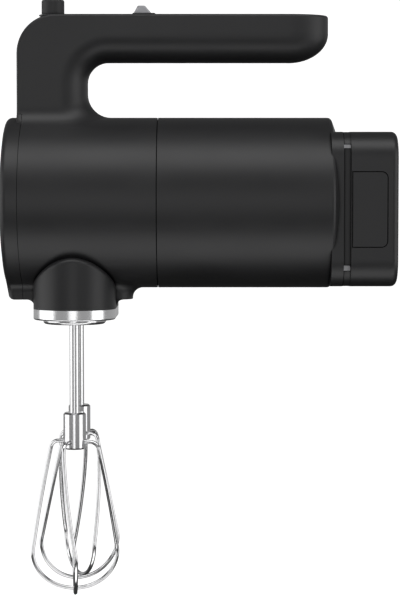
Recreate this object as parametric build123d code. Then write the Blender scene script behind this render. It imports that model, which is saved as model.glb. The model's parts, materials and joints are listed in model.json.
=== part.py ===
from build123d import *
import os
from math import atan2, cos, degrees, hypot, pi, radians, sin, sqrt, tan

# Cordless hand mixer: a horizontal drum with the motor and a twin-spindle worm gearbox, a handle
# that is open at the rear, two wire beaters below the nose and a slide-off battery pack behind.
# It is laid out with +Z up, the nose at -X, the drum axis on Z = 0 and the beaters at X = 0.
# Millimetres. At export everything moves so that the origin is the centre of the hand grip.

# Drum and nose
drum_radius = 47.35
wall = 2.4
nose_front_x = -41.9
nose_dome_radius = 286.0
nose_corner_radius = 3.4
nose_seam_x = -29.0
nose_seam_rise = 1.35
front_housing_end_x = 45.4
drum_end_x = 144.2
drum_rear_slope_length = 2.6
drum_rear_slope_height = 7.2
drum_rear_edge_radius = 2.5
seam_gap = 0.25
sleeve_seam_gap = 0.5
parting_gap = 0.16
spigot_length = 6.0

# Handle, open at the rear
grip_width = 30.0
finger_gap_height = 30.25
grip_height = 26.1
grip_end_x = 140.4
grip_round_depth = 16.0
grip_tip_length = 22.0
grip_rim_radius = 1.5
column_front_x = -31.9
column_rear_x = 6.7
shoulder_radius = 21.5
finger_corner_radius = 11.5
column_flare_radius = 13.0

# Chin under the nose and the boss that holds the beater sockets
chin_drop = 6.25
chin_rear_x = 31.5
chin_half_width = 14.0
chin_corner_radius = 10.0
chin_blend_radius = 5.8
boss_half_x = 22.6
boss_half_y = 41.5
boss_drop = 4.7
boss_rim_radius = 3.0
boss_foot_radius = 4.0
boss_wall = 2.6
drum_opening_half_x = 15.0
drum_opening_half_y = 32.0
spindle_guide_height = 7.0
trim_ring_height = 5.8
trim_ring_width = 4.6
trim_ring_edge_radius = 0.9
socket_plate_drop = 2.4
socket_plate_inset = 5.4
socket_plate_edge_radius = 1.6

# Twin-spindle worm drive
gear_module = 1.0
worm_starts = 2
worm_pitch_diameter = 10.0
wheel_teeth = 32
wheel_thickness = 8.0
wheel_hub_radius = 8.0
tooth_height_up = 0.75
tooth_height_down = 1.1
worm_height_up = 0.7
tooth_thickness_share = 0.36
wheel_phase = 0.765
worm_thread_length = 14.0
gearbox_half_height = 12.0
gearbox_plate = 3.0
gearbox_half_x = 24.0
gearbox_edge_gap = 2.5
spindle_radius = 4.5
spindle_top_z = 10.6
running_clearance = 0.05
part_clearance = 0.35
bush_wall = 2.0

# Beaters
beater_shaft_radius = 2.725
beater_shaft_drop = 10.0
collar_radius = 6.25
beater_shaft_exposed = 48.8
collar_length = 20.3
collar_chamfer = 0.9
wire_diameter = 2.2
wire_exit_height = 4.1
cage_shoulder_radius = 14.6
cage_radius = 23.4
cage_taper_length = 56.8
cage_bottom_depth = 22.9
cage_twist = 26.0
left_cage_angle = 69.0
right_cage_angle = 50.0

# Eject button on the shoulder of the handle
eject_x = -12.7
eject_button_radius = 6.35
eject_button_rise = 8.9
eject_stroke = 6.0
eject_rod_radius = 3.0
eject_pin_radius = 2.2
eject_flange_depth = 9.7
eject_flange_height = 2.5
eject_guide_height = 3.0
eject_spring_length = 15.0
eject_plate_thickness = 2.4
spring_wire = 1.1
spring_turns = 6

# Speed slider on top of the handle
slider_x = 37.5
slider_travel = 14.0
slider_height = 5.6
slider_shoe_length = 12.6
slider_shoe_height = 1.3
slider_width = 8.0
slider_neck_length = 6.0
slider_neck_width = 3.4
bezel_thickness = 0.8

# Motor
motor_front_gap = 8.6
motor_length = 60.0
motor_radius = 30.0
motor_shell = 2.0
magnet_thickness = 4.5
rotor_radius = 22.8
shaft_radius = 3.0
bulkhead_thickness = 4.0
fan_edge_gap = 7.0
fan_blades = 9

# Battery dock and battery pack
pack_middle_z = -3.5
pack_height = 84.4
pack_half_width = 40.0
pack_corner_radius = 15.0
dock_length = 2.5
dock_lap = 4.0
pack_gap = 0.3
pack_neck_length = 3.7
pack_length = 25.7
pack_neck_inset = 1.6
pack_neck_top_inset = 0.15
pack_wall = 2.4
pack_edge_radius = 3.4
pack_travel = 30.0
cell_radius = 9.2
cell_length = 65.0
cell_count = 3
latch_front_gap = 0.4
latch_length = 19.5
latch_top_z = 17.0
latch_bottom_z = -24.2
latch_corner_radius = 3.6
latch_travel = 2.2
latch_gap = 0.5
latch_flange = 2.2

# Fasteners
screw_shank_radius = 1.2
screw_head_radius = 2.7
screw_head_height = 2.0
screw_boss_radius = 4.2

# Derived sizes
nose_seam_top_z = drum_radius + nose_seam_rise
chin_bottom_z = -drum_radius - chin_drop
boss_bottom_z = chin_bottom_z - boss_drop
grip_bottom_z = drum_radius + finger_gap_height
grip_top_z = grip_bottom_z + grip_height
pitch_radius = gear_module * wheel_teeth / 2
spindle_y = pitch_radius + worm_pitch_diameter / 2
spindle_bore_radius = beater_shaft_radius + running_clearance
boss_ring_bottom_z = boss_bottom_z - trim_ring_height
socket_bottom_z = boss_ring_bottom_z - socket_plate_drop
drum_inner_radius = drum_radius - wall
beater_shaft_top_z = -gearbox_half_height - beater_shaft_drop
collar_top_z = socket_bottom_z - beater_shaft_exposed
collar_bottom_z = collar_top_z - collar_length
cage_widest_z = collar_bottom_z - cage_taper_length
eject_button_top_z = grip_top_z + eject_button_rise
eject_flange_z = grip_top_z - eject_flange_depth
eject_guide_z = eject_flange_z - eject_spring_length - eject_guide_height
motor_front_x = front_housing_end_x + motor_front_gap
motor_rear_x = motor_front_x + motor_length
fan_radius = drum_inner_radius - fan_edge_gap
dock_end_x = drum_end_x + dock_length
pack_neck_x = dock_end_x + pack_gap
pack_body_x = pack_neck_x + pack_neck_length
pack_end_x = pack_body_x + pack_length
latch_front_x = pack_body_x + latch_front_gap
latch_rear_x = latch_front_x + latch_length
grip_middle_x = (column_rear_x + grip_end_x) / 2
grip_middle_z = (grip_top_z + grip_bottom_z) / 2
grip_cavity_half = grip_width / 2 - wall - 0.4
grip_cavity_depth = grip_round_depth / 2 - wall - 0.6
core_x = column_rear_x - grip_round_depth
core_z = grip_bottom_z + grip_round_depth
corner_x = column_rear_x + finger_corner_radius
corner_z = grip_bottom_z - finger_corner_radius
grip_join_z = (corner_z + drum_radius + column_flare_radius) / 2
housing_screw_places = (
    (column_front_x + 8, grip_join_z + 6), (grip_middle_x - 8, core_z + 1), (grip_end_x - 22, core_z + 1)
)
FAR = 200.0

parts = {}


def box(x0, x1, y0, y1, z0, z1):
    return Pos(x0, y0, z0) * Box(x1 - x0, y1 - y0, z1 - z0, align=(Align.MIN,) * 3)


def rod_x(radius, x0, x1, y=0.0, z=0.0):
    return extrude(Plane.YZ.offset(x0) * Pos(y, z) * Circle(radius), x1 - x0)


def rod_y(radius, y0, y1, x=0.0, z=0.0):
    bar = Cylinder(radius, y1 - y0, align=(Align.CENTER, Align.CENTER, Align.MIN))
    return Pos(x, y0, z) * Rot(-90, 0, 0) * bar


def rod_z(radius, z0, z1, x=0.0, y=0.0):
    bar = Cylinder(radius, z1 - z0, align=(Align.CENTER, Align.CENTER, Align.MIN))
    return Pos(x, y, z0) * bar


def stadium(half_x, half_y, z0, z1):
    return Pos(0, 0, z0) * extrude(SlotOverall(2 * half_y, 2 * half_x, rotation=90), z1 - z0)


def pack_prism(inset, x0, x1, inset_z=None):
    inset_z = inset if inset_z is None else inset_z
    outline = RectangleRounded(
        2 * (pack_half_width - inset), pack_height - 2 * inset_z, pack_corner_radius - inset
    )
    return extrude(Plane.YZ.offset(x0) * Pos(0, pack_middle_z) * outline, x1 - x0)


def half_ellipse(half_width, depth):
    arc = EllipticalCenterArc((0, 0), half_width, depth, start_angle=180, arc_size=180)
    return make_face([arc, Line((half_width, 0), (-half_width, 0))])


# The column and the handle: flat sides, a round inner side towards the fingers, a domed rear end.
def grip_form(inset, low_z):
    half = grip_width / 2 - inset
    depth = grip_round_depth - inset
    tip = grip_tip_length - inset
    top = grip_top_z - inset
    front = column_front_x + inset
    shoulder = shoulder_radius - inset
    tip_x = grip_end_x - grip_tip_length
    bend = finger_corner_radius + grip_round_depth
    diagonal = sqrt(0.5)
    outline = [
        Line((core_x, low_z), (core_x, corner_z)),
        ThreePointArc(
            (core_x, corner_z),
            (corner_x - bend * diagonal, corner_z + bend * diagonal),
            (corner_x, core_z),
        ),
        Line((corner_x, core_z), (tip_x, core_z)),
        Line((tip_x, core_z), (tip_x, top)),
        Line((tip_x, top), (front + shoulder, top)),
        ThreePointArc(
            (front + shoulder, top),
            (front + shoulder * (1 - diagonal), top - shoulder * (1 - diagonal)),
            (front, top - shoulder),
        ),
        Line((front, top - shoulder), (front, low_z)),
        Line((front, low_z), (core_x, low_z)),
    ]
    slab = extrude(Plane.XZ * make_face(outline), half, both=True)
    section = half_ellipse(half, depth)
    handle_plane = Plane(origin=(corner_x, 0, core_z), x_dir=(0, 1, 0), z_dir=(1, 0, 0))
    column_plane = Plane(origin=(core_x, 0, low_z), x_dir=(0, 1, 0), z_dir=(0, 0, 1))
    underside = extrude(handle_plane * section, tip_x - corner_x)
    inner_bend = revolve(handle_plane * section, Axis((corner_x, 0, corner_z), (0, -1, 0)), 90)
    column_back = extrude(column_plane * section, corner_z - low_z)
    bulb = Pos(tip_x, 0, core_z) * scale(Sphere(1), by=(tip, half, depth))
    end_low = bulb & box(tip_x, tip_x + FAR, -FAR, FAR, core_z - FAR, core_z)
    end_high = Pos(tip_x, 0, core_z) * extrude(Ellipse(tip, half), top - core_z)
    end_high &= box(tip_x, tip_x + FAR, -FAR, FAR, core_z, top)
    return slab + underside + inner_bend + column_back + end_low + end_high


def is_grip_rim(edge):
    middle = edge @ 0.5
    on_side = abs(abs(middle.Y) - grip_width / 2) < 0.01
    on_top = abs(middle.Z - grip_top_z) < 0.01
    if edge.geom_type == GeomType.LINE:
        return on_side and on_top
    if edge.geom_type == GeomType.ELLIPSE:
        return on_top
    return edge.geom_type == GeomType.CIRCLE and on_side and middle.Z > grip_top_z - shoulder_radius / 2


# The whole outside of the front housing, solid: drum, domed nose, chin, column and handle. The
# drum, column and chin run past the nose while they are blended and are then cut to the dome.
def front_form():
    start_x = nose_front_x - 20
    form = rod_x(drum_radius, start_x, front_housing_end_x)
    form += box(start_x, core_x, -grip_width / 2, grip_width / 2, 0, grip_join_z)
    column_plane = Plane(origin=(core_x, 0, 0), x_dir=(0, 1, 0), z_dir=(0, 0, 1))
    form += extrude(column_plane * half_ellipse(grip_width / 2, grip_round_depth), grip_join_z)
    chin = box(start_x, chin_rear_x, -chin_half_width, chin_half_width, chin_bottom_z, 0)
    form += fillet(chin.edges().filter_by(Axis.Z).group_by(Axis.X)[-1], chin_corner_radius)

    def joins_drum(edge):
        middle = edge @ 0.5
        return (
            abs(hypot(middle.Y, middle.Z) - drum_radius) < 0.01
            and start_x + 1 < middle.X < front_housing_end_x - 1
            and abs(middle.Z) > 0.5 * drum_radius
        )

    column_joint = [edge for edge in form.edges() if joins_drum(edge) and (edge @ 0.5).Z > 0]
    form = fillet(column_joint, column_flare_radius)
    chin_joint = [edge for edge in form.edges() if joins_drum(edge) and (edge @ 0.5).Z < 0]
    form = fillet(chin_joint, chin_blend_radius)
    in_front = box(start_x - 1, column_front_x, -FAR, FAR, 0, grip_join_z + 1)
    form -= in_front - rod_x(drum_radius, start_x - 2, front_housing_end_x)
    form &= Pos(nose_front_x + nose_dome_radius, 0, 0) * Sphere(nose_dome_radius)
    dome = form.faces().sort_by(Axis.X)[0]
    form = fillet(dome.edges(), nose_corner_radius)
    form += grip_form(0, grip_join_z)
    return fillet([edge for edge in form.edges() if is_grip_rim(edge)], grip_rim_radius)


def front_cavity():
    dome = Pos(nose_front_x + nose_dome_radius, 0, 0) * Sphere(nose_dome_radius - wall)
    drum = rod_x(drum_inner_radius, nose_front_x, front_housing_end_x + 1) & dome
    top = grip_top_z - wall
    column = box(
        column_front_x + wall, core_x + grip_cavity_depth,
        -grip_cavity_half, grip_cavity_half, drum_radius / 2, top,
    )
    shoulder = column.edges().filter_by(Axis.Y).group_by(Axis.Z)[-1].sort_by(Axis.X)[0]
    column = fillet(shoulder, shoulder_radius - wall)
    handle = box(
        core_x, grip_end_x - 0.6 * grip_tip_length, -grip_cavity_half, grip_cavity_half,
        core_z - grip_cavity_depth, top,
    )
    return drum, column + handle


def slider_slot(half_width, margin, z0, z1):
    x0 = slider_x - slider_neck_length / 2 - margin
    x1 = slider_x + slider_neck_length / 2 + slider_travel + margin
    return box(x0, x1, -half_width, half_width, z0, z1)


def bezel_outline(grow):
    margin = slider_shoe_length / 2 + grow
    middle_x = slider_x + slider_travel / 2
    plate = RectangleRounded(slider_travel + 2 * margin, slider_width + 5 + 2 * grow, 3 + grow)
    return Pos(middle_x, 0, grip_top_z - bezel_thickness) * extrude(plate, bezel_thickness)


# The two halves of the front housing and the nose cap, cut from one hollow form.
def front_housing():
    drum_cavity, grip_cavity = front_cavity()
    body = front_form() - drum_cavity - grip_cavity
    guide_top_z = boss_bottom_z + spindle_guide_height + part_clearance
    body -= stadium(boss_half_x - boss_wall, boss_half_y - boss_wall, chin_bottom_z - 1, guide_top_z)
    body -= stadium(drum_opening_half_x, drum_opening_half_y, chin_bottom_z - 1, 0)
    body -= rod_z(eject_button_radius + part_clearance, grip_top_z - 2 * wall, grip_top_z + 1, x=eject_x)
    body -= bezel_outline(0) + slider_slot(
        slider_neck_width / 2 + part_clearance, part_clearance, grip_top_z - 2 * wall, grip_top_z
    )
    cap_zone = box(-FAR, nose_seam_x - seam_gap / 2, -FAR, FAR, -FAR, nose_seam_top_z - seam_gap / 2)
    shell_gap = box(-FAR, nose_seam_x + seam_gap / 2, -FAR, FAR, -FAR, nose_seam_top_z + seam_gap / 2)
    parts["nose_cap"] = body & cap_zone
    shells = body - shell_gap
    left = shells & box(-FAR, FAR, -FAR, -parting_gap / 2, -FAR, FAR)
    right = mirror(left, about=Plane.XZ)
    side_y = grip_width / 2 - wall / 2
    seat_y = side_y / 2
    for x, z in housing_screw_places:
        left += rod_y(screw_boss_radius, -side_y, -parting_gap / 2, x, z)
        left -= rod_y(screw_shank_radius + running_clearance, -side_y + 1, 0, x, z)
        right += rod_y(screw_boss_radius, parting_gap / 2, side_y, x, z)
        right -= rod_y(screw_shank_radius + running_clearance, 0, FAR, x, z)
        right -= rod_y(screw_head_radius + part_clearance, seat_y, FAR, x, z)
    parts["housing_left"] = left
    parts["housing_right"] = right
    parts["housing_screws"] = Compound(
        children=[housing_screw(x, z, seat_y, side_y - 1.5) for x, z in housing_screw_places]
    )


def housing_screw(x, z, seat_y, depth):
    head = rod_y(screw_head_radius, seat_y, seat_y + screw_head_height, x, z)
    head = fillet(head.edges().group_by(Axis.Y)[-1], screw_head_height * 0.45)
    head -= Pos(x, seat_y + screw_head_height, z) * cross_recess()
    return head + rod_y(screw_shank_radius, -depth, seat_y, x, z)


def cross_recess():
    arm = screw_head_radius * 0.62
    thin = screw_head_radius * 0.14
    return box(-arm, arm, -0.9, 1, -thin, thin) + box(-thin, thin, -0.9, 1, -arm, arm)


# The boss under the nose: a stadium-shaped skirt whose rounded rim stands just off the drum.
def beater_boss():
    skirt = stadium(boss_half_x, boss_half_y, boss_bottom_z, 0)
    foot = box(-FAR, FAR, -chin_half_width, chin_half_width, chin_bottom_z, chin_bottom_z + 2)
    foot &= stadium(boss_half_x + 12, boss_half_y + 12, boss_bottom_z, 0)
    skirt += foot
    corner = [
        edge
        for edge in skirt.edges()
        if abs((edge @ 0.5).Z - chin_bottom_z) < 0.01 and abs((edge @ 0.5).X) < boss_half_x + 0.01
        and abs((edge @ 0.5).Y) < chin_half_width - 0.5
    ]
    skirt = fillet(corner, boss_foot_radius)
    above = stadium(boss_half_x + 20, boss_half_y + 20, chin_bottom_z, 0)
    above -= stadium(boss_half_x, boss_half_y, chin_bottom_z - 1, 1)
    skirt -= above
    rim_gap = 0.12
    skirt -= rod_x(drum_radius + rim_gap, -FAR, FAR)
    rim = [
        edge
        for edge in skirt.edges()
        if abs(hypot((edge @ 0.5).Y, (edge @ 0.5).Z) - drum_radius - rim_gap) < 0.01
        and abs((edge @ 0.5).Y) > chin_half_width
    ]
    skirt = fillet(rim, boss_rim_radius)
    skirt -= chin_block(0.1)
    skirt -= stadium(boss_half_x - boss_wall, boss_half_y - boss_wall, boss_bottom_z - 1, 1)
    parts["beater_boss"] = skirt


def chin_block(gap):
    half = chin_half_width + gap
    return box(-FAR, FAR, -half, half, chin_bottom_z - 0.001, 0)


def sockets():
    ring = stadium(boss_half_x, boss_half_y, boss_ring_bottom_z, boss_bottom_z)
    ring = fillet(ring.edges().group_by(Axis.Z)[0], trim_ring_edge_radius)
    ring -= stadium(
        boss_half_x - trim_ring_width, boss_half_y - trim_ring_width,
        boss_ring_bottom_z - 1, boss_bottom_z + 1,
    )
    parts["trim_ring"] = ring
    plate = stadium(
        boss_half_x - socket_plate_inset, boss_half_y - socket_plate_inset, socket_bottom_z, boss_bottom_z
    )
    plate = fillet(plate.edges().group_by(Axis.Z)[0], socket_plate_edge_radius)
    guide = stadium(
        boss_half_x - boss_wall - 0.2, boss_half_y - boss_wall - 0.2,
        boss_bottom_z, boss_bottom_z + spindle_guide_height,
    )
    for y in (-spindle_y, spindle_y):
        plate -= rod_z(spindle_radius + part_clearance, -FAR, 0, y=y)
        guide -= rod_z(spindle_radius + running_clearance, -FAR, 0, y=y)
    parts["socket_plate"] = plate
    parts["spindle_guide"] = guide


# A gear wheel whose slanted teeth follow the lead of the worm, in mesh with it at rest.
def worm_wheel(y, turn):
    lead_angle = atan2(worm_starts * gear_module, worm_pitch_diameter)
    twist = degrees(wheel_thickness * tan(lead_angle) / pitch_radius)
    root = pitch_radius - tooth_height_down
    tip = pitch_radius + tooth_height_up
    half_angle = 360 / wheel_teeth * tooth_thickness_share / 2

    def tooth_section(z, angle):
        low = root - 0.5
        corners = [
            (low * cos(radians(a)), low * sin(radians(a))) for a in (-1.25 * half_angle, 1.25 * half_angle)
        ] + [(tip * cos(radians(a)), tip * sin(radians(a))) for a in (0.55 * half_angle, -0.55 * half_angle)]
        return Pos(0, 0, z) * Rot(0, 0, angle) * make_face(Polyline(*corners, close=True))

    half = wheel_thickness / 2
    tooth = loft([tooth_section(-half, -twist / 2), tooth_section(half, twist / 2)], ruled=True)
    wheel = Cylinder(root, wheel_thickness)
    wheel += [Rot(0, 0, turn + 360 * i / wheel_teeth) * tooth for i in range(wheel_teeth)]
    wheel -= (
        Cylinder(root - 3, wheel_thickness)
        - Cylinder(wheel_hub_radius, wheel_thickness)
        - Cylinder(root, 3)
    )
    wheel += Cylinder(wheel_hub_radius, 2 * (gearbox_half_height - gearbox_plate) - 2 * part_clearance)
    wheel -= Cylinder(spindle_radius, FAR)
    return Pos(0, y, 0) * wheel


def spindles():
    for side, sign in (("left", -1), ("right", 1)):
        y = sign * spindle_y
        tube = rod_z(spindle_radius, socket_bottom_z + 0.6, spindle_top_z, y=y)
        tube -= rod_z(spindle_bore_radius, -FAR, FAR, y=y)
        mouth = tube.edges().group_by(Axis.Z)[0].filter_by(lambda edge: edge.radius < spindle_radius - 0.1)
        parts["spindle_" + side] = chamfer(mouth, 0.8)
        parts["worm_wheel_" + side] = worm_wheel(y, sign * wheel_phase * 360 / wheel_teeth)


def worm_and_shaft():
    lead = worm_starts * gear_module * pi
    root = worm_pitch_diameter / 2 - tooth_height_up - 0.3
    tip = worm_pitch_diameter / 2 + worm_height_up
    half = worm_thread_length / 2
    shaft = rod_x(shaft_radius, -gearbox_half_x - 2, motor_rear_x + 16)
    worm = Cylinder(root, worm_thread_length + 4)
    thick = pi * gear_module * tooth_thickness_share / 2
    helix = Helix(lead, worm_thread_length, root)
    profile = Plane(origin=helix @ 0, x_dir=(1, 0, 0), z_dir=helix % 0)
    crest = tip - root
    corners = ((-0.6, -1.25 * thick), (crest, -0.55 * thick), (crest, 0.55 * thick), (-0.6, 1.25 * thick))
    section = make_face(Polyline(*corners, close=True))
    thread = sweep(profile * section, path=helix, is_frenet=True)
    for start in range(worm_starts):
        worm += Pos(0, 0, -half) * Rot(0, 0, 360 * start / worm_starts) * thread
    worm &= Cylinder(tip + 1, worm_thread_length - 1)
    worm += Cylinder(root, worm_thread_length + 4)
    worm -= Cylinder(shaft_radius, FAR)
    parts["motor_shaft"] = shaft
    parts["worm"] = Rot(0, 90, 0) * worm


def gearbox():
    half_y = sqrt(drum_inner_radius**2 - gearbox_half_height**2) - gearbox_edge_gap
    frame = box(-gearbox_half_x, gearbox_half_x, -half_y, half_y, -gearbox_half_height, gearbox_half_height)
    frame = fillet(frame.edges().filter_by(Axis.Z), 4)
    end_wall = 4
    frame -= box(
        -gearbox_half_x + end_wall, gearbox_half_x - end_wall, -FAR, FAR,
        -gearbox_half_height + gearbox_plate, gearbox_half_height - gearbox_plate,
    )
    bearing_radius = shaft_radius + 4
    frame -= rod_x(bearing_radius, -FAR, FAR)
    bearings, bushes, screws = [], [], []
    for x0 in (-gearbox_half_x, gearbox_half_x - end_wall):
        ring = rod_x(bearing_radius, x0, x0 + end_wall) - rod_x(shaft_radius + running_clearance, -FAR, FAR)
        bearings.append(ring)
    for y in (-spindle_y, spindle_y):
        bush_radius = spindle_radius + running_clearance + bush_wall
        frame -= rod_z(bush_radius, -FAR, FAR, y=y)
        for z0 in (-gearbox_half_height, gearbox_half_height - gearbox_plate):
            bush = rod_z(bush_radius, z0, z0 + gearbox_plate, y=y)
            bushes.append(bush - rod_z(spindle_radius + running_clearance, -FAR, FAR, y=y))
        for x in (-gearbox_half_x + 8, gearbox_half_x - 8):
            hole_y = y * 0.28
            top = gearbox_half_height
            frame -= rod_z(screw_shank_radius, top - gearbox_plate, top, x=x, y=hole_y)
            head = rod_z(screw_head_radius, top, top + screw_head_height, x=x, y=hole_y)
            screws.append(head + rod_z(screw_shank_radius, top - gearbox_plate, top, x=x, y=hole_y))
    parts["gearbox_frame"] = frame
    parts["worm_bearings"] = Compound(children=bearings)
    parts["spindle_bushes"] = Compound(children=bushes)
    parts["gearbox_screws"] = Compound(children=screws)


# One bent wire of a cage: out of the collar, down over a shoulder, twisting out to the widest
# place, round the bottom and up the other side. Straight runs are joined by tangent arcs.
def cage_wire(angle, twist, raise_bottom):
    exit_z = collar_bottom_z + wire_exit_height
    span = exit_z - cage_widest_z

    def place(radius, z, turn):
        a = radians(turn)
        return (radius * cos(a), radius * sin(a), z)

    def taper(share):
        radius = cage_shoulder_radius + (cage_radius - cage_shoulder_radius) * share**0.9
        return place(radius, exit_z - span * share, angle + twist * share)

    half = [place(collar_radius - 2, exit_z, angle), place(cage_shoulder_radius, exit_z, angle)]
    half += [taper(share) for share in (0.25, 0.5, 0.75, 1.0)]
    depth = cage_bottom_depth - raise_bottom
    for bend in (30, 58):
        a = radians(bend)
        half.append(place(cage_radius * cos(a), cage_widest_z - depth * sin(a), angle + twist))
    bottom = cage_widest_z - depth
    half.append(place(cage_radius * 0.22, bottom, angle + twist))
    points = half + [(-x, -y, z) for x, y, z in reversed(half)]
    radii = []
    for before, here, after in zip(points, points[1:], points[2:]):
        first, second = Vector(*here) - Vector(*before), Vector(*after) - Vector(*here)
        turn = radians(first.get_angle(second))
        radii.append(0.42 * min(first.length, second.length) / tan(turn / 2))
    path = FilletPolyline(*points, radius=radii)
    start = Plane(origin=path @ 0, z_dir=path % 0)
    return sweep(start * Circle(wire_diameter / 2), path=path)


def beaters():
    for side, y, angle, twist in (
        ("left", -spindle_y, left_cage_angle, cage_twist),
        ("right", spindle_y, right_cage_angle, -cage_twist),
    ):
        exit_z = collar_bottom_z + wire_exit_height
        shaft = rod_z(beater_shaft_radius, collar_bottom_z + 7, beater_shaft_top_z, y=y)
        parts[f"beater_{side}_shaft"] = chamfer(shaft.edges().group_by(Axis.Z)[-1], 0.8)
        collar = rod_z(collar_radius, collar_bottom_z, collar_top_z, y=y)
        ends = collar.edges().group_by(Axis.Z)
        collar = chamfer(ends[0] + ends[-1], collar_chamfer)
        collar -= rod_z(beater_shaft_radius, collar_bottom_z + 7, FAR, y=y)
        wires = []
        for quarter in (0, 90):
            turn = angle + quarter
            hole = rod_x(wire_diameter / 2 + 0.02, -FAR, FAR, z=exit_z)
            hole -= Cylinder(collar_radius - 2.02, 3 * FAR)
            collar -= Pos(0, y, 0) * Rot(0, 0, turn) * hole
            wires.append(Pos(0, y, 0) * cage_wire(turn, twist, (wire_diameter + 0.1) * quarter / 90))
        parts[f"beater_{side}_collar"] = collar
        parts[f"beater_{side}_wires"] = Compound(children=wires)


def coil_spring(mean_radius, length, turns):
    path = Helix((length - spring_wire) / turns, length - spring_wire, mean_radius)
    section = Plane(origin=path @ 0, z_dir=path % 0) * Circle(spring_wire / 2)
    return Pos(0, 0, spring_wire / 2) * sweep(section, path=path, is_frenet=True)


def ejector():
    button = rod_z(eject_button_radius, eject_flange_z, eject_button_top_z, x=eject_x)
    button = fillet(button.edges().group_by(Axis.Z)[-1], 1.0)
    flange_top_z = eject_flange_z + eject_flange_height
    button += rod_z(eject_button_radius + 2, eject_flange_z, flange_top_z, x=eject_x)
    parts["eject_button"] = button
    plate_z = gearbox_half_height + eject_stroke + screw_head_height + part_clearance
    parts["eject_rod"] = rod_z(eject_rod_radius, plate_z + eject_plate_thickness, eject_flange_z, x=eject_x)
    plate = box(eject_x - 4, 4, -spindle_y - 4, spindle_y + 4, plate_z, plate_z + eject_plate_thickness)
    plate = fillet(plate.edges().filter_by(Axis.Z), 3)
    for y in (-spindle_y, spindle_y):
        plate += rod_z(eject_pin_radius, beater_shaft_top_z + eject_stroke + 0.4, plate_z, y=y)
    parts["eject_plate"] = plate
    guide_half = grip_cavity_half - 0.1
    guide = box(
        column_front_x + wall + 0.1, eject_x + 8, -guide_half, guide_half,
        eject_guide_z, eject_guide_z + eject_guide_height,
    )
    parts["eject_guide"] = guide - rod_z(eject_rod_radius + part_clearance, 0, FAR, x=eject_x)
    spring = coil_spring(eject_rod_radius + part_clearance + spring_wire, eject_spring_length, spring_turns)
    parts["eject_spring"] = Pos(eject_x, 0, eject_guide_z + eject_guide_height) * spring
    rim = rod_z(eject_button_radius + 1.5, grip_top_z, grip_top_z + 0.6, x=eject_x)
    rim = fillet(rim.edges().group_by(Axis.Z)[-1], 0.3)
    parts["eject_collar"] = rim - rod_z(eject_button_radius + part_clearance, 0, FAR, x=eject_x)


def speed_control():
    bezel = bezel_outline(-0.05)
    bezel -= slider_slot(slider_neck_width / 2 + part_clearance, part_clearance, 0, FAR)
    parts["speed_bezel"] = bezel
    shoe_z = grip_top_z + 0.15
    x0, x1 = slider_x - slider_shoe_length / 2 + 0.5, slider_x + slider_shoe_length / 2 + 0.5
    shoe = box(x0, x1, -slider_width / 2 - 1, slider_width / 2 + 1, shoe_z, shoe_z + slider_shoe_height)
    shoe = fillet(shoe.edges().group_by(Axis.Z)[-1], 0.5)
    shoe += slider_slot(slider_neck_width / 2, 0, grip_top_z - wall - 3, shoe_z + 0.2) & box(
        -FAR, slider_x + slider_neck_length / 2, -FAR, FAR, 0, FAR
    )
    shoe_top_z = grip_top_z - wall - part_clearance
    shoe += box(slider_x - 5, slider_x + 5, -5, 5, grip_top_z - wall - 3, shoe_top_z)
    parts["slider_carriage"] = shoe
    low, high = shoe_z + slider_shoe_height, grip_top_z + slider_height
    middle_x = slider_x - 0.3
    fin = loft(
        [
            Pos(middle_x, 0, low) * RectangleRounded(10.0, slider_width, 1.5),
            Pos(middle_x - 0.7, 0, high) * RectangleRounded(4.0, slider_width - 1.0, 1.2),
        ]
    )
    parts["speed_knob"] = fillet(fin.edges().group_by(Axis.Z)[-1], 0.5)
    board_z = grip_top_z - wall - 8
    board = box(slider_x - 9, slider_x + slider_travel + 9, -8, 8, board_z, board_z + 1.6)
    track = box(slider_x - 7, slider_x + slider_travel + 7, -4, 4, board_z + 1.6, board_z + 4.4)
    parts["speed_sensor"] = board + track


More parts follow.
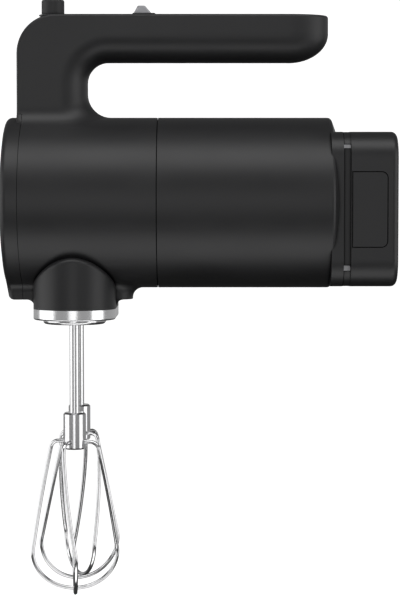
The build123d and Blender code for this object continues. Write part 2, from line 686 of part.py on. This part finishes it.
def motor():
    x0, x1 = motor_front_x, motor_rear_x
    can = rod_x(motor_radius, x0, x1) - rod_x(motor_radius - motor_shell, x0 + 2, x1 + 1)
    parts["motor_can"] = can - rod_x(shaft_radius + 4, -FAR, FAR)
    plug = rod_x(motor_radius - motor_shell, x1 - 3, x1) - rod_x(shaft_radius + 4, -FAR, FAR)
    parts["motor_end_cap"] = plug
    rings = []
    for x in (x0, x1 - 3):
        ring = rod_x(shaft_radius + 4, x, x + 3) - rod_x(shaft_radius + running_clearance, -FAR, FAR)
        rings.append(ring)
    parts["motor_bearings"] = Compound(children=rings)
    outer = motor_radius - motor_shell
    tube = rod_x(outer, x0 + 8, x1 - 12) - rod_x(outer - magnet_thickness, -FAR, FAR)
    slot = box(-FAR, FAR, -4, 4, -FAR, FAR)
    slots = slot + Rot(90, 0, 0) * slot
    parts["motor_magnets"] = Compound(children=(tube - slots).solids())
    core = rod_x(rotor_radius, x0 + 12, x1 - 20)
    slot_tool = box(x0, x1, -1.0, 1.0, rotor_radius - 6, rotor_radius + 1)
    pocket = rod_x(2.6, x0, x1, z=rotor_radius - 6)
    for i in range(12):
        core -= Rot(30 * i, 0, 0) * (slot_tool + pocket)
    parts["rotor_core"] = core - rod_x(shaft_radius, -FAR, FAR)
    windings = []
    for a, b in ((x0 + 5, x0 + 12), (x1 - 20, x1 - 14)):
        ring = rod_x(rotor_radius - 3, a, b)
        ring = fillet(ring.edges().filter_by(GeomType.CIRCLE), 2.4)
        windings.append(ring - rod_x(shaft_radius, -FAR, FAR))
    parts["rotor_windings"] = Compound(children=windings)
    ring = rod_x(8, x1 - 13.5, x1 - 4) - rod_x(shaft_radius, -FAR, FAR)
    for i in range(12):
        ring -= Rot(30 * i, 0, 0) * box(x1 - 14, x1, -0.25, 0.25, 7, 9)
    parts["commutator"] = ring
    brush = box(x1 - 11, x1 - 5, -2.5, 2.5, 8.3, 20)
    parts["carbon_brushes"] = Compound(children=[brush, Rot(180, 0, 0) * brush])
    hub = rod_x(9, x1 + 4, x1 + 14)
    disc = rod_x(fan_radius, x1 + 4, x1 + 5.6)
    fan = hub + disc
    for i in range(fan_blades):
        blade = box(x1 + 5.5, x1 + 13, -0.8, 0.8, 8, fan_radius - 1)
        fan += Rot(360 * i / fan_blades, 0, 0) * blade
    parts["cooling_fan"] = fan - rod_x(shaft_radius, -FAR, FAR)
    b0 = motor_front_x - bulkhead_thickness
    bulkhead = rod_x(drum_inner_radius - 2 * wall, b0, motor_front_x) - rod_x(14, -FAR, FAR)
    screws = []
    for i in range(4):
        turn = Rot(45 + 90 * i, 0, 0)
        bulkhead -= turn * rod_x(screw_shank_radius, -FAR, FAR, z=22)
        head = rod_x(screw_head_radius, b0 - screw_head_height, b0, z=22)
        screws.append(turn * (head + rod_x(screw_shank_radius, b0, motor_front_x, z=22)))
        bulkhead -= turn * rod_x(5, -FAR, FAR, z=33)
    parts["motor_bulkhead"] = bulkhead
    parts["motor_screws"] = Compound(children=screws)


# The outside of the drum's rear: a cylinder with a sloping shoulder round its flat end.
def rear_form():
    form = rod_x(drum_radius, front_housing_end_x + sleeve_seam_gap, drum_end_x - drum_rear_slope_length)
    slope = Plane.YZ.offset(drum_end_x - drum_rear_slope_length) * Circle(drum_radius)
    form += loft([slope, Plane.YZ.offset(drum_end_x) * Circle(drum_radius - drum_rear_slope_height)])
    shoulder = [
        edge for edge in form.edges().filter_by(GeomType.CIRCLE)
        if abs((edge @ 0.5).X - drum_end_x + drum_rear_slope_length) < 0.01
    ]
    return fillet(shoulder, drum_rear_edge_radius)


# The rear of the drum: one sleeve with a spigot that plugs into the front housing.
def motor_sleeve():
    x0 = front_housing_end_x + sleeve_seam_gap
    sleeve = rear_form()
    sleeve += rod_x(drum_inner_radius - 0.1, x0 - spigot_length, x0 + 1)
    sleeve -= rod_x(drum_inner_radius - wall, x0 - spigot_length - 1, drum_end_x - 3)
    sleeve -= rod_x(drum_inner_radius, x0 + spigot_length, drum_end_x - 3 * wall)
    sleeve -= box(drum_end_x - 4, drum_end_x + 1, -24, 24, -20, 20)
    parts["motor_sleeve"] = sleeve
    board_x = motor_rear_x + 19
    board = rod_x(drum_inner_radius - 9, board_x, board_x + 1.6) - rod_x(8, -FAR, FAR)
    for y, z, across, tall in ((-18, 14, 8, 8), (16, 18, 12, 6), (-14, -18, 10, 10), (18, -14, 6, 14)):
        board += box(board_x + 1.5, board_x + 5, y - across / 2, y + across / 2, z - tall / 2, z + tall / 2)
    parts["control_board"] = board


def battery_dock():
    dock = pack_prism(0, drum_end_x - dock_lap, dock_end_x)
    dock -= rear_form() + rod_x(drum_radius - drum_rear_slope_height, 0, drum_end_x)
    dock -= box(drum_end_x, FAR, -12, 12, -8, 8)
    parts["battery_dock"] = dock
    carrier = box(drum_end_x - 1, dock_end_x - 1, -11.9, 11.9, -7.9, 7.9)
    blades = [
        box(drum_end_x - 6, pack_body_x + 3, y - 0.4, y + 0.4, -4, 4) for y in (-7.5, -2.5, 2.5, 7.5)
    ]
    for blade in blades:
        carrier -= blade
    parts["terminal_block"] = carrier
    parts["terminal_blades"] = Compound(children=blades)
    bars = []
    for z, tall in ((pack_middle_z + 33.9, 1.9), (pack_middle_z - 31.8, 2.7)):
        for sign in (-1, 1):
            y = sign * (pack_half_width - pack_neck_inset - 2.4)
            bars.append(box(dock_end_x, pack_body_x - 0.3, y - 1.2, y + 1.2, z - tall / 2, z + tall / 2))
    parts["dock_rails"] = Compound(children=bars)
    return bars


def battery_pack(rails):
    neck = pack_prism(pack_neck_inset, pack_neck_x, pack_body_x, pack_neck_top_inset)
    slot_gap = 0.4
    for bar in rails:
        size = bar.bounding_box()
        sign = 1 if size.center().Y > 0 else -1
        y0, y1 = sorted((sign * (abs(size.center().Y) - 1.2 - slot_gap), sign * pack_half_width))
        neck -= box(pack_neck_x - 1, pack_body_x, y0, y1, size.min.Z - slot_gap, size.max.Z + slot_gap)
    for y in (-7.5, -2.5, 2.5, 7.5):
        neck -= box(0, FAR, y - 0.4 - slot_gap, y + 0.4 + slot_gap, -4 - slot_gap, 4 + slot_gap)
    parts["pack_base"] = neck
    shell = pack_prism(0, pack_body_x, pack_end_x)
    shell = fillet(shell.edges().group_by(Axis.X)[-1], pack_edge_radius)
    shell -= pack_prism(pack_wall, pack_body_x - 1, pack_end_x - pack_wall)
    for sign in (-1, 1):
        shell -= latch_prism(0, sign, pack_half_width - pack_wall - 1, pack_half_width + 1)
    parts["pack_shell"] = shell
    cells, places = [], []
    pitch = 2 * cell_radius + 0.8
    cell_x = (pack_body_x + pack_end_x) / 2 + 0.4
    for i in range(cell_count):
        y = (i - (cell_count - 1) / 2) * pitch
        cell = rod_z(cell_radius, -cell_length / 2, cell_length / 2, x=cell_x, y=y)
        cells.append(Pos(0, 0, pack_middle_z) * fillet(cell.edges().filter_by(GeomType.CIRCLE), 0.8))
        places.append(y)
    parts["battery_cells"] = Compound(children=cells)
    half_y = places[-1] + cell_radius + 1
    holders = []
    for sign in (-1, 1):
        z0 = pack_middle_z + sign * (cell_length / 2 - 3)
        z1 = z0 + sign * 4.6
        low, high = sorted((z0, z1))
        holder = box(cell_x - cell_radius - 0.6, cell_x + cell_radius + 0.6, -half_y, half_y, low, high)
        for y in places:
            ends = sorted((z0 - sign, pack_middle_z + sign * cell_length / 2))
            holder -= rod_z(cell_radius, *ends, x=cell_x, y=y)
        holders.append(holder)
    parts["cell_holders"] = Compound(children=holders)
    board_z = pack_middle_z + cell_length / 2 + 3
    parts["pack_board"] = box(cell_x - 8, cell_x + 8, -24, 24, board_z, board_z + 1.6)
    clips = []
    for y in (-7.5, -2.5, 2.5, 7.5):
        for sign in (-1, 1):
            y0, y1 = sorted((y + sign * (0.4 + part_clearance), y + sign * (0.4 + part_clearance + 0.5)))
            clips.append(box(pack_body_x + 0.3, pack_body_x + 3.2, y0, y1, -3, 3))
    parts["pack_contacts"] = Compound(children=clips)
    springs = []
    for side, sign in (("left", -1), ("right", 1)):
        outer = pack_half_width - 0.1
        y0, y1 = sorted((sign * (outer - 1.7), sign * outer))
        button = latch_prism(-latch_gap, sign, outer - 1.7, outer)
        flange_out = pack_half_width - pack_wall - 0.15
        flange = latch_prism(latch_flange, sign, flange_out - 1.6, flange_out)
        button += flange & box(pack_body_x + 0.15, FAR, -FAR, FAR, -FAR, FAR)
        button += latch_prism(-latch_gap, sign, flange_out - 0.5, outer - 1)
        parts["latch_" + side] = button
        # The spring has its pressed length, so that it stays clear of the latch over its whole travel.
        length = flange_out - 1.6 - half_y - 0.2 - latch_travel
        coil = coil_spring(3.0, length, 3)
        middle_x = (latch_front_x + latch_rear_x) / 2
        middle_z = (latch_top_z + latch_bottom_z) / 2
        springs.append(Pos(middle_x, sign * (half_y + 0.1), middle_z) * Rot(-sign * 90, 0, 0) * coil)
    parts["latch_springs"] = Compound(children=springs)


def latch_prism(grow, sign, y_in, y_out):
    wide = latch_rear_x - latch_front_x + 2 * grow
    tall = latch_top_z - latch_bottom_z + 2 * grow
    middle_x = (latch_front_x + latch_rear_x) / 2
    middle_z = (latch_top_z + latch_bottom_z) / 2
    plate = box(-wide / 2, wide / 2, 0, y_out - y_in, -tall / 2, tall / 2)
    rear = plate.edges().filter_by(Axis.Y).group_by(Axis.X)[-1]
    plate = fillet(rear, latch_corner_radius + grow)
    y = y_in if sign > 0 else -y_out
    return Pos(middle_x, y, middle_z) * plate


front_housing()
beater_boss()
sockets()
spindles()
worm_and_shaft()
gearbox()
beaters()
ejector()
speed_control()
motor()
motor_sleeve()
battery_pack(battery_dock())

os.makedirs("parts", exist_ok=True)
for name, shape in parts.items():
    export_step(Pos(-grip_middle_x, 0, -grip_middle_z) * shape, f"parts/{name}.step")
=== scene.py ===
import json
import math

import bpy
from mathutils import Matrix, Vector


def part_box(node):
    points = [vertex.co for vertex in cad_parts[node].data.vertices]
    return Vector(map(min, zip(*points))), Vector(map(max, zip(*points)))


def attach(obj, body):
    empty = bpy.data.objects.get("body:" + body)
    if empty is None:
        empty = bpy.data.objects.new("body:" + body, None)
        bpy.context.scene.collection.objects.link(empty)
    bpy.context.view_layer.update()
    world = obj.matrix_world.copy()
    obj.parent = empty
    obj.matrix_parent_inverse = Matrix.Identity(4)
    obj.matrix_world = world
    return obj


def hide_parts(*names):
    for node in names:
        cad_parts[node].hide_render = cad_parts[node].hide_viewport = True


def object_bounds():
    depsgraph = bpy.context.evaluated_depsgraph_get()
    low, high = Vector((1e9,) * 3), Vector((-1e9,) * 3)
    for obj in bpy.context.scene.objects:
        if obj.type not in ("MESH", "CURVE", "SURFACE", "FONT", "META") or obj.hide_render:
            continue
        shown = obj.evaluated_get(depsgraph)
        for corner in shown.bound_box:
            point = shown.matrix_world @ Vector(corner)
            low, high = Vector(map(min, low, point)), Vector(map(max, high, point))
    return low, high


MM = 0.001

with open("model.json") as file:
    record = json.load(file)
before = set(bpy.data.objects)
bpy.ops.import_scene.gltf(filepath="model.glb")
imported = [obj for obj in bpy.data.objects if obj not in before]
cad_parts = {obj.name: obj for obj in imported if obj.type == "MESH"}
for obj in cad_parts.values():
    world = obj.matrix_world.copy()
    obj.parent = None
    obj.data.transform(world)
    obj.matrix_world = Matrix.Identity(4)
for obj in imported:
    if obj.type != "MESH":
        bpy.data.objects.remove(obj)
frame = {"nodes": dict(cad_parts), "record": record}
cad_bounds = [list(corner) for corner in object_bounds()]
nodes = frame["nodes"]


def middle(node):
    low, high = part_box(node)
    return (low + high) / 2


drum_axis_z = middle("motor_sleeve").z
beater_x = middle("beater_left_collar").x
FLOOR_BELOW_BEATERS = 120 * MM
floor_z = cad_bounds[0][2] - FLOOR_BELOW_BEATERS


# ---------------------------------------------------------------- camera
# A long lens about a metre away, level with the drum and tipped down a little towards the beaters
CAMERA_DISTANCE = 1.070
CAMERA_X = beater_x + 69.1 * MM
CAMERA_ABOVE_AXIS = 1.5 * MM
CAMERA_PITCH_DOWN = math.radians(2.92)
CAMERA_LENS = 115.6


def make_camera():
    data = bpy.data.cameras.new("camera")
    data.lens = CAMERA_LENS
    data.sensor_width = 36
    data.clip_end = 50
    camera = bpy.data.objects.new("camera", data)
    camera.location = (CAMERA_X, -CAMERA_DISTANCE, drum_axis_z + CAMERA_ABOVE_AXIS)
    camera.rotation_euler = (math.radians(90) - CAMERA_PITCH_DOWN, 0, 0)
    bpy.context.scene.collection.objects.link(camera)
    bpy.context.scene.camera = camera


# ---------------------------------------------------------------- studio
# Name, azimuth and elevation in degrees, distance, width, height and brightness of each softbox
SOFTBOXES = (
    ("key_top_front", 0, 64, 1.3, 2.2, 0.75, 2.6),
    ("low_front", 0, -61, 1.3, 2.2, 0.95, 1.7),
    ("left_side", -83, 0, 1.3, 1.3, 1.2, 1.2),
    ("right_side", 70, 0, 1.3, 0.9, 1.2, 1.4),
    ("front_fill", -3, 0, 2.4, 0.9, 1.2, 1.1),
)

# Share of the way from straight down to straight up, and the brightness of the surroundings there
HORIZON = ((0.0, 0.04), (0.38, 0.05), (0.47, 0.42), (0.60, 0.5), (0.68, 0.12), (1.0, 0.06))


def softbox(name, azimuth, elevation, distance, width, height, radiance):
    """A panel aimed at the drum, placed by azimuth (0 from the camera's side, 90 from the right)."""
    a, e = math.radians(azimuth), math.radians(elevation)
    outward = Vector((math.sin(a) * math.cos(e), -math.cos(a) * math.cos(e), math.sin(e)))
    data = bpy.data.lights.new(name, "AREA")
    data.shape = "RECTANGLE"
    data.size = width
    data.size_y = height
    data.energy = radiance * math.pi * width * height
    data.color = (1, 1, 1)
    light = bpy.data.objects.new(name, data)
    centre = Vector((CAMERA_X, 0, drum_axis_z))
    light.location = centre + outward * distance
    light.rotation_euler = (centre - light.location).to_track_quat("-Z", "Y").to_euler()
    bpy.context.scene.collection.objects.link(light)


def make_studio():
    """A white backdrop for the camera; for the object a bright band round the horizon and softboxes."""
    world = bpy.data.worlds.new("studio")
    world.use_nodes = True
    bpy.context.scene.world = world
    tree = world.node_tree
    background = tree.nodes["Background"]
    background.inputs["Color"].default_value = (1, 1, 1, 1)
    direction = tree.nodes.new("ShaderNodeTexCoord")
    split = tree.nodes.new("ShaderNodeSeparateXYZ")
    height = tree.nodes.new("ShaderNodeMapRange")
    height.inputs["From Min"].default_value = -1.0
    ramp = tree.nodes.new("ShaderNodeValToRGB")
    stops = ramp.color_ramp.elements
    while len(stops) < len(HORIZON):
        stops.new(1.0)
    for stop, (place, level) in zip(stops, HORIZON):
        stop.position = place
        stop.color = (level, level, level, 1)
    path = tree.nodes.new("ShaderNodeLightPath")
    choose = tree.nodes.new("ShaderNodeMapRange")
    choose.inputs["To Max"].default_value = 1.0
    tree.links.new(direction.outputs["Generated"], split.inputs["Vector"])
    tree.links.new(split.outputs["Z"], height.inputs["Value"])
    tree.links.new(height.outputs["Result"], ramp.inputs["Fac"])
    tree.links.new(ramp.outputs["Color"], choose.inputs["To Min"])
    tree.links.new(path.outputs["Is Camera Ray"], choose.inputs["Value"])
    tree.links.new(choose.outputs["Result"], background.inputs["Strength"])
    for values in SOFTBOXES:
        softbox(*values)
    bpy.context.scene.view_settings.view_transform = "Standard"


def make_floor():
    """A pale studio floor that curves up into a backdrop far behind the object."""
    half_width, front, back, rise, bend = 4.0, -3.0, 2.6, 3.0, 1.2
    profile = [(front, 0.0), (back - bend, 0.0)]
    steps = 16
    for i in range(1, steps + 1):
        a = math.pi / 2 * i / steps
        profile.append((back - bend + bend * math.sin(a), bend * (1 - math.cos(a))))
    profile.append((back, rise))
    vertices, faces = [], []
    for y, z in profile:
        vertices.append((-half_width, y, floor_z + z))
        vertices.append((half_width, y, floor_z + z))
    for i in range(len(profile) - 1):
        faces.append((2 * i, 2 * i + 1, 2 * i + 3, 2 * i + 2))
    floor = mesh_object("studio_floor", vertices, faces)
    material, shader, links = blank_material("studio_paper")
    shader.inputs["Base Color"].default_value = (0.9, 0.9, 0.9, 1)
    shader.inputs["Roughness"].default_value = 0.9
    shader.inputs["Emission Color"].default_value = (1, 1, 1, 1)
    shader.inputs["Emission Strength"].default_value = 0.85
    floor.data.materials.append(material)
    floor.visible_diffuse = False
    floor.visible_glossy = False


# ---------------------------------------------------------------- mesh helpers
def mesh_object(name, vertices, faces):
    mesh = bpy.data.meshes.new(name)
    mesh.from_pydata([tuple(v) for v in vertices], [], faces)
    mesh.validate()
    for polygon in mesh.polygons:
        polygon.use_smooth = True
    thing = bpy.data.objects.new(name, mesh)
    bpy.context.scene.collection.objects.link(thing)
    return thing


def tube_mesh(points, radius, sides=20):
    """Rings of vertices carried along a line of points without twisting, closed at both ends."""
    tangents = []
    for i, _ in enumerate(points):
        before, after = points[max(i - 1, 0)], points[min(i + 1, len(points) - 1)]
        tangents.append((after - before).normalized())
    side = tangents[0].orthogonal().normalized()
    vertices, faces = [], []
    for point, tangent in zip(points, tangents):
        side = (side - tangent * side.dot(tangent)).normalized()
        other = tangent.cross(side)
        for k in range(sides):
            a = 2 * math.pi * k / sides
            vertices.append(point + (side * math.cos(a) + other * math.sin(a)) * radius)
    for i in range(len(points) - 1):
        for k in range(sides):
            a, b = i * sides + k, i * sides + (k + 1) % sides
            faces.append((a, b, b + sides, a + sides))
    faces.append(tuple(reversed(range(sides))))
    last = (len(points) - 1) * sides
    faces.append(tuple(last + k for k in range(sides)))
    return vertices, faces


# ---------------------------------------------------------------- materials
def blank_material(name):
    material = bpy.data.materials.new(name)
    material.use_nodes = True
    tree = material.node_tree
    shader = tree.nodes["Principled BSDF"]
    return material, shader, tree.links


def object_noise(tree, scale, detail=2.0, stretch=(1, 1, 1)):
    coordinates = tree.nodes.new("ShaderNodeTexCoord")
    mapping = tree.nodes.new("ShaderNodeMapping")
    mapping.inputs["Scale"].default_value = stretch
    noise = tree.nodes.new("ShaderNodeTexNoise")
    noise.inputs["Scale"].default_value = scale
    noise.inputs["Detail"].default_value = detail
    tree.links.new(coordinates.outputs["Object"], mapping.inputs["Vector"])
    tree.links.new(mapping.outputs["Vector"], noise.inputs["Vector"])
    return noise.outputs["Fac"]


def remap(tree, value, low, high):
    node = tree.nodes.new("ShaderNodeMapRange")
    node.inputs["To Min"].default_value = low
    node.inputs["To Max"].default_value = high
    node.inputs["From Min"].default_value = 0.3
    node.inputs["From Max"].default_value = 0.7
    tree.links.new(value, node.inputs["Value"])
    return node.outputs["Result"]


def two_tone(tree, value, dark, light):
    ramp = tree.nodes.new("ShaderNodeValToRGB")
    ramp.color_ramp.elements[0].position = 0.3
    ramp.color_ramp.elements[1].position = 0.7
    ramp.color_ramp.elements[0].color = (*dark, 1)
    ramp.color_ramp.elements[1].color = (*light, 1)
    tree.links.new(value, ramp.inputs["Fac"])
    return ramp.outputs["Color"]


def bump(tree, shader, height, distance, strength):
    node = tree.nodes.new("ShaderNodeBump")
    node.inputs["Distance"].default_value = distance
    node.inputs["Strength"].default_value = strength
    tree.links.new(height, node.inputs["Height"])
    tree.links.new(node.outputs["Normal"], shader.inputs["Normal"])


# Painted shade: the plastic's colour and specular level are darkened in seams and corners that are closed
# in within this distance
GAP_SHADE = 2.0 * MM


def moulded_plastic(name, tone, roughness, grain=0.35 * MM, depth=0.012 * MM, specular=0.4):
    """Spark-eroded moulded plastic: a fine grain, slow changes of sheen and a little colour drift, with
    painted shade in seams and corners.
    """
    material, shader, links = blank_material(name)
    tree = material.node_tree
    slow = object_noise(tree, 28, 3)
    fine = object_noise(tree, 1 / grain, 2)
    # An ambient occlusion node paints shade into the base colour and lowers the specular level in seams and
    # corners
    painted_crevice_shade = tree.nodes.new("ShaderNodeAmbientOcclusion")
    painted_crevice_shade.inputs["Distance"].default_value = GAP_SHADE
    painted_crevice_shade.samples = 8
    links.new(two_tone(tree, slow, [c * 0.94 for c in tone], [c * 1.06 for c in tone]), painted_crevice_shade.inputs["Color"])
    links.new(painted_crevice_shade.outputs["Color"], shader.inputs["Base Color"])
    links.new(remap(tree, slow, roughness - 0.03, roughness + 0.03), shader.inputs["Roughness"])
    sheen = tree.nodes.new("ShaderNodeMapRange")
    sheen.inputs["From Min"].default_value = 0.45
    sheen.inputs["From Max"].default_value = 0.9
    sheen.inputs["To Max"].default_value = specular
    links.new(painted_crevice_shade.outputs["AO"], sheen.inputs["Value"])
    links.new(sheen.outputs["Result"], shader.inputs["Specular IOR Level"])
    bump(tree, shader, fine, depth, 0.6)
    return material


def bright_metal(name, tone, roughness, stretch, streak_scale=900, depth=0.004 * MM):
    """Polished or drawn steel with faint streaks along the way it was worked."""
    material, shader, links = blank_material(name)
    tree = material.node_tree
    shader.inputs["Metallic"].default_value = 1.0
    streaks = object_noise(tree, streak_scale, 3, stretch)
    slow = object_noise(tree, 60, 2)
    links.new(two_tone(tree, slow, [c * 0.93 for c in tone], tone), shader.inputs["Base Color"])
    links.new(remap(tree, streaks, roughness * 0.75, roughness * 1.25), shader.inputs["Roughness"])
    bump(tree, shader, streaks, depth, 0.5)
    return material


def paint_cad(material_of):
    """Every CAD node takes the procedural material made for its slot in the record."""
    for entry in frame["record"]["subparts"]:
        thing = nodes[entry["node"]]
        thing.data.materials.clear()
        thing.data.materials.append(material_of[entry["material_slot"]])


def make_materials():
    """One material for each material slot of the record."""
    return {
        "housing_plastic": moulded_plastic("housing_black", (0.020, 0.020, 0.021), 0.42),
        "pack_plastic": moulded_plastic("pack_black", (0.019, 0.019, 0.020), 0.40, 0.3 * MM),
        "button_plastic": moulded_plastic("button_black", (0.024, 0.024, 0.025), 0.5, 0.25 * MM),
        "trim_gloss": moulded_plastic("gloss_black", (0.012, 0.012, 0.013), 0.16, 2 * MM, 0.004 * MM, 0.5),
        "knob_plastic": moulded_plastic("knob_grey", (0.42, 0.42, 0.44), 0.45, 0.3 * MM),
        "chrome_trim": bright_metal("trim_steel", (0.80, 0.80, 0.81), 0.20, (1, 1, 0.02)),
        "beater_steel": bright_metal("beater_steel", (0.78, 0.78, 0.79), 0.16, (1, 1, 0.05)),
        "steel": bright_metal("machined_steel", (0.30, 0.30, 0.31), 0.42, (1, 1, 0.1)),
        "bronze": bright_metal("sintered_bronze", (0.50, 0.33, 0.15), 0.45, (1, 1, 1)),
        "terminal_metal": bright_metal("plated_terminal", (0.75, 0.62, 0.35), 0.3, (1, 1, 1)),
        "inner_plastic": moulded_plastic("inner_nylon", (0.05, 0.05, 0.055), 0.55),
        "gear_plastic": moulded_plastic("gear_acetal", (0.75, 0.72, 0.62), 0.45),
        "ferrite": moulded_plastic("ferrite", (0.03, 0.03, 0.035), 0.7),
        "board": moulded_plastic("solder_mask", (0.01, 0.08, 0.03), 0.25),
        "cell_wrap": moulded_plastic("cell_wrap", (0.03, 0.10, 0.35), 0.3),
    }


# ---------------------------------------------------------------- beaters
WIRE_DIAMETER = 2.2 * MM
WIRE_START_RADIUS = 4.3 * MM
WIRE_EXIT_HEIGHT = 4.1 * MM
LOOP_CLEARANCE = 0.1 * MM
SHOULDER_RADIUS = 14.6 * MM
SHOULDER_BEND = 4.6 * MM
CAGE_RADIUS = 23.4 * MM
CAGE_WIDEST_BELOW_COLLAR = 56.8 * MM
CAGE_BOTTOM_DEPTH = 22.9 * MM
CAGE_TWIST = 26.0
CAGE_ANGLES = {"left": (69.0, 1), "right": (50.0, -1)}


def smooth_line(points, steps):
    """A Catmull-Rom curve through the points, sampled evenly in parameter."""
    line = []
    padded = [2 * points[0] - points[1]] + points + [2 * points[-1] - points[-2]]
    for a, b, c, d in zip(padded, padded[1:], padded[2:], padded[3:]):
        for i in range(steps):
            t = i / steps
            line.append(
                0.5 * (2 * b + (c - a) * t + (2 * a - 5 * b + 4 * c - d) * t * t
                       + (3 * b - a - 3 * c + d) * t ** 3)
            )
    line.append(points[-1])
    return line


def cage_line(collar, bottom_z, angle, twist, lift):
    """Half of a loop from inside the collar to the cage's lowest point, then the other half."""
    exit_z = bottom_z + WIRE_EXIT_HEIGHT
    widest_z = bottom_z - CAGE_WIDEST_BELOW_COLLAR
    depth = CAGE_BOTTOM_DEPTH - lift

    def at(radius, z, turn):
        a = math.radians(turn)
        return Vector((radius * math.cos(a), radius * math.sin(a), z))

    half = [at(WIRE_START_RADIUS, exit_z, angle), at(SHOULDER_RADIUS - SHOULDER_BEND, exit_z, angle)]
    for i in range(1, 6):
        a = math.radians(15 * i)
        radius = SHOULDER_RADIUS - SHOULDER_BEND * (1 - math.sin(a))
        half.append(at(radius, exit_z - SHOULDER_BEND * (1 - math.cos(a)), angle))
    steps = 14
    for i in range(1, steps + 1):
        share = i / steps
        z = exit_z - SHOULDER_BEND + (widest_z - exit_z + SHOULDER_BEND) * share
        radius = SHOULDER_RADIUS + (CAGE_RADIUS - SHOULDER_RADIUS) * share ** 0.9
        half.append(at(radius, z, angle + twist * share))
    for i in range(1, 10):
        a = math.radians(10 * i)
        half.append(at(CAGE_RADIUS * math.cos(a), widest_z - depth * math.sin(a), angle + twist))
    other = [Vector((-p.x, -p.y, p.z)) for p in reversed(half[:-1])]
    centre = Vector((collar.x, collar.y, 0))
    return [p + centre for p in smooth_line(half + other, 3)]


def make_cages(material):
    for side, (angle, hand) in CAGE_ANGLES.items():
        collar = middle(f"beater_{side}_collar")
        bottom_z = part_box(f"beater_{side}_collar")[0].z
        for number, quarter in enumerate((0, 90)):
            lift = (WIRE_DIAMETER + LOOP_CLEARANCE) * number
            line = cage_line(collar, bottom_z, angle + quarter, hand * CAGE_TWIST, lift)
            wire = mesh_object(f"beater_{side}_loop_{number + 1}", *tube_mesh(line, WIRE_DIAMETER / 2))
            wire.data.materials.append(material)
            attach(wire, f"beater_{side}")
            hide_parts(f"beater_{side}_wires")


# ---------------------------------------------------------------- build
make_camera()
make_studio()
make_floor()
materials = make_materials()
paint_cad(materials)
make_cages(materials["beater_steel"])
